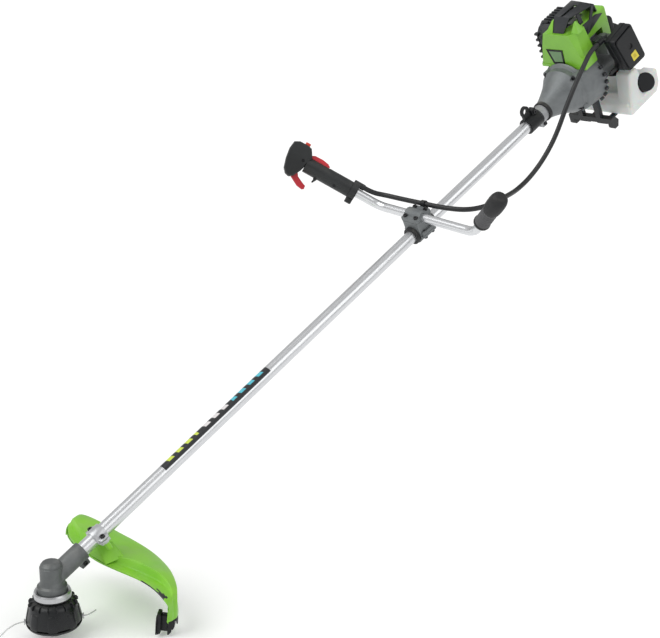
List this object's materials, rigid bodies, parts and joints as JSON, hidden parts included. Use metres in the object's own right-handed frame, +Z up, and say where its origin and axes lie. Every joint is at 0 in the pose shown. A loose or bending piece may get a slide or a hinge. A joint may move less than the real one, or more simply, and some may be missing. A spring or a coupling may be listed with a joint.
{
  "type": "string trimmer",
  "caption": "Petrol string trimmer with a straight tube, a bent handlebar with throttle grip, a line head with guard, and an engine with fuel tank and stand.",
  "frame": {"origin": "centre of the harness eye above the tube, near the engine", "axes": "+X from the line head towards the engine, +Y towards the operator's right hand along the harness eye's hole, +Z up, with the tube rising 28 degrees towards +X"},
  "size_m": [1.6959, 0.5161, 1.0263],
  "materials": {
    "bar_clamp_base": "satin",
    "bar_clamp_cap": "satin",
    "bar_clamp_sleeve": "satin",
    "bearings": "satin",
    "blade_flange": "satin",
    "bump_knob": "satin",
    "cable_clip": "satin",
    "carburettor": "satin",
    "choke_lever": "satin",
    "clutch_drum": "satin",
    "clutch_housing": "satin",
    "clutch_shoes": "satin",
    "crankcase": "satin",
    "crankshaft": "satin",
    "cylinder": "satin",
    "drive_shaft": "satin",
    "engine_cover": "satin",
    "fan_case": "satin",
    "filter_case": "satin",
    "filter_cover": "satin",
    "filter_element": "satin",
    "flywheel": "satin",
    "fuel_cap": "satin",
    "fuel_tank": "satin",
    "gearbox_housing": "satin",
    "guard_bracket": "satin",
    "guard_shield": "satin",
    "guard_skirt": "satin",
    "handle_shell_left": "satin",
    "handle_shell_right": "satin",
    "handlebar_tube": "satin",
    "harness_clamp": "satin",
    "head_spring": "satin",
    "ignition_coil": "satin",
    "left_grip": "satin",
    "line_cutter": "satin",
    "line_eyelets": "satin",
    "line_head_housing": "satin",
    "line_spool": "satin",
    "lockoff_lever": "satin",
    "main_tube": "satin",
    "muffler": "satin",
    "muffler_guard": "satin",
    "output_spindle": "satin",
    "piston": "satin",
    "primer_bulb": "satin",
    "rubber_mount": "satin",
    "screws": "satin",
    "spark_plug": "satin",
    "starter_handle": "satin",
    "starter_housing": "satin",
    "starter_reel": "satin",
    "stop_switch": "satin",
    "tank_stand": "satin",
    "throttle_cable": "satin",
    "throttle_trigger": "satin",
    "top_cover": "satin",
    "trimmer_line_long": "satin",
    "trimmer_line_short": "satin",
    "tube_collar": "satin"
  },
  "bodies": {
    "frame": {"bar_clamp_base": "bar_clamp_base", "bar_clamp_cap": "bar_clamp_cap", "bar_clamp_sleeve": "bar_clamp_sleeve", "bearings": "bearings", "cable_clip": "cable_clip", "carburettor": "carburettor", "clutch_housing": "clutch_housing", "crankcase": "crankcase", "cylinder": "cylinder", "engine_cover": "engine_cover", "fan_case": "fan_case", "filter_case": "filter_case", "filter_cover": "filter_cover", "filter_element": "filter_element", "fuel_tank": "fuel_tank", "gearbox_housing": "gearbox_housing", "guard_bracket": "guard_bracket", "guard_shield": "guard_shield", "guard_skirt": "guard_skirt", "handle_shell_left": "handle_shell_left", "handle_shell_right": "handle_shell_right", "handlebar_tube": "handlebar_tube", "harness_clamp": "harness_clamp", "ignition_coil": "ignition_coil", "left_grip": "left_grip", "line_cutter": "line_cutter", "main_tube": "main_tube", "muffler": "muffler", "muffler_guard": "muffler_guard", "rubber_mount": "rubber_mount", "screws": "screws", "spark_plug": "spark_plug", "starter_housing": "starter_housing", "tank_stand": "tank_stand", "throttle_cable": "throttle_cable", "top_cover": "top_cover", "tube_collar": "tube_collar"},
    "head": {"output_spindle": "output_spindle", "blade_flange": "blade_flange", "line_head_housing": "line_head_housing", "line_spool": "line_spool", "head_spring": "head_spring", "line_eyelets": "line_eyelets", "trimmer_line_long": "trimmer_line_long", "trimmer_line_short": "trimmer_line_short"},
    "knob": {"bump_knob": "bump_knob"},
    "driveline": {"drive_shaft": "drive_shaft", "clutch_drum": "clutch_drum"},
    "crank": {"crankshaft": "crankshaft", "flywheel": "flywheel", "clutch_shoes": "clutch_shoes"},
    "piston": {"piston": "piston"},
    "trigger": {"throttle_trigger": "throttle_trigger"},
    "lockoff": {"lockoff_lever": "lockoff_lever"},
    "switch": {"stop_switch": "stop_switch"},
    "choke": {"choke_lever": "choke_lever"},
    "primer": {"primer_bulb": "primer_bulb"},
    "reel": {"starter_reel": "starter_reel"},
    "pull": {"starter_handle": "starter_handle"},
    "cap": {"fuel_cap": "fuel_cap"}
  },
  "joints": [
    {"name": "drive_spin", "type": "hinge", "parent": "frame", "child": "driveline", "pos_m": [-0.51557, 0, -0.31264], "axis": [0.8829, 0, 0.4695], "continuous": true},
    {"name": "head_spin", "type": "hinge", "parent": "frame", "child": "head", "pos_m": [-1.22193, 0, -0.68822], "axis": [0, 0, 1], "continuous": true},
    {"name": "bump_feed", "type": "slide", "parent": "head", "child": "knob", "axis": [0, 0, 1], "range_m": [0, 0.005], "stiffness_N_per_m": 1000, "springref_m": -0.01, "deforming": ["head_spring"]},
    {"name": "crank_spin", "type": "hinge", "parent": "frame", "child": "crank", "pos_m": [0.22257, 0, 0.07984], "axis": [0.8829, 0, 0.4695], "continuous": true},
    {"name": "piston_stroke", "type": "slide", "parent": "frame", "child": "piston", "axis": [-0.4695, 0, 0.8829], "range_m": [-0.032, 0]},
    {"name": "throttle_squeeze", "type": "hinge", "parent": "frame", "child": "trigger", "pos_m": [-0.46464, 0.2259, -0.09945], "axis": [-0.6033, -0.7654, 0.2241], "range_deg": [0, 20], "stiffness_Nm_per_rad": 0.1, "springref_deg": -17.19},
    {"name": "lockoff_press", "type": "hinge", "parent": "frame", "child": "lockoff", "pos_m": [-0.43043, 0.20579, -0.07601], "axis": [0.6033, 0.7654, -0.2241], "range_deg": [0, 5.5], "stiffness_Nm_per_rad": 0.1, "springref_deg": -11.46},
    {"name": "stop_slide", "type": "slide", "parent": "frame", "child": "switch", "axis": [-0.6104, 0.624, 0.4879], "range_m": [0, 0.006]},
    {"name": "choke_swing", "type": "hinge", "parent": "frame", "child": "choke", "pos_m": [0.23212, -0.078, 0.09171], "axis": [0, 1, 0], "range_deg": [0, 40]},
    {"name": "primer_press", "type": "slide", "parent": "frame", "child": "primer", "axis": [-0.4695, 0, 0.8829], "range_m": [0, 0.004], "stiffness_N_per_m": 500, "springref_m": -0.002},
    {"name": "starter_pull", "type": "slide", "parent": "frame", "child": "pull", "axis": [0, 1, 0], "range_m": [0, 0.06], "stiffness_N_per_m": 60, "springref_m": -0.05},
    {"name": "reel_turn", "type": "hinge", "parent": "frame", "child": "reel", "pos_m": [0.28085, 0, 0.11082], "axis": [0.8829, 0, 0.4695], "range_deg": [-98.3, 0]},
    {"name": "cap_lift", "type": "slide", "parent": "frame", "child": "cap", "axis": [-0.5006, -0.8116, 0.3012], "range_m": [0, 0.04]}
  ],
  "couplings": [
    {"joint": "head_spin", "follows": "drive_spin", "ratio": -0.73684},
    {"joint": "reel_turn", "follows": "starter_pull", "rad_per_m": -28.571}
  ]
}
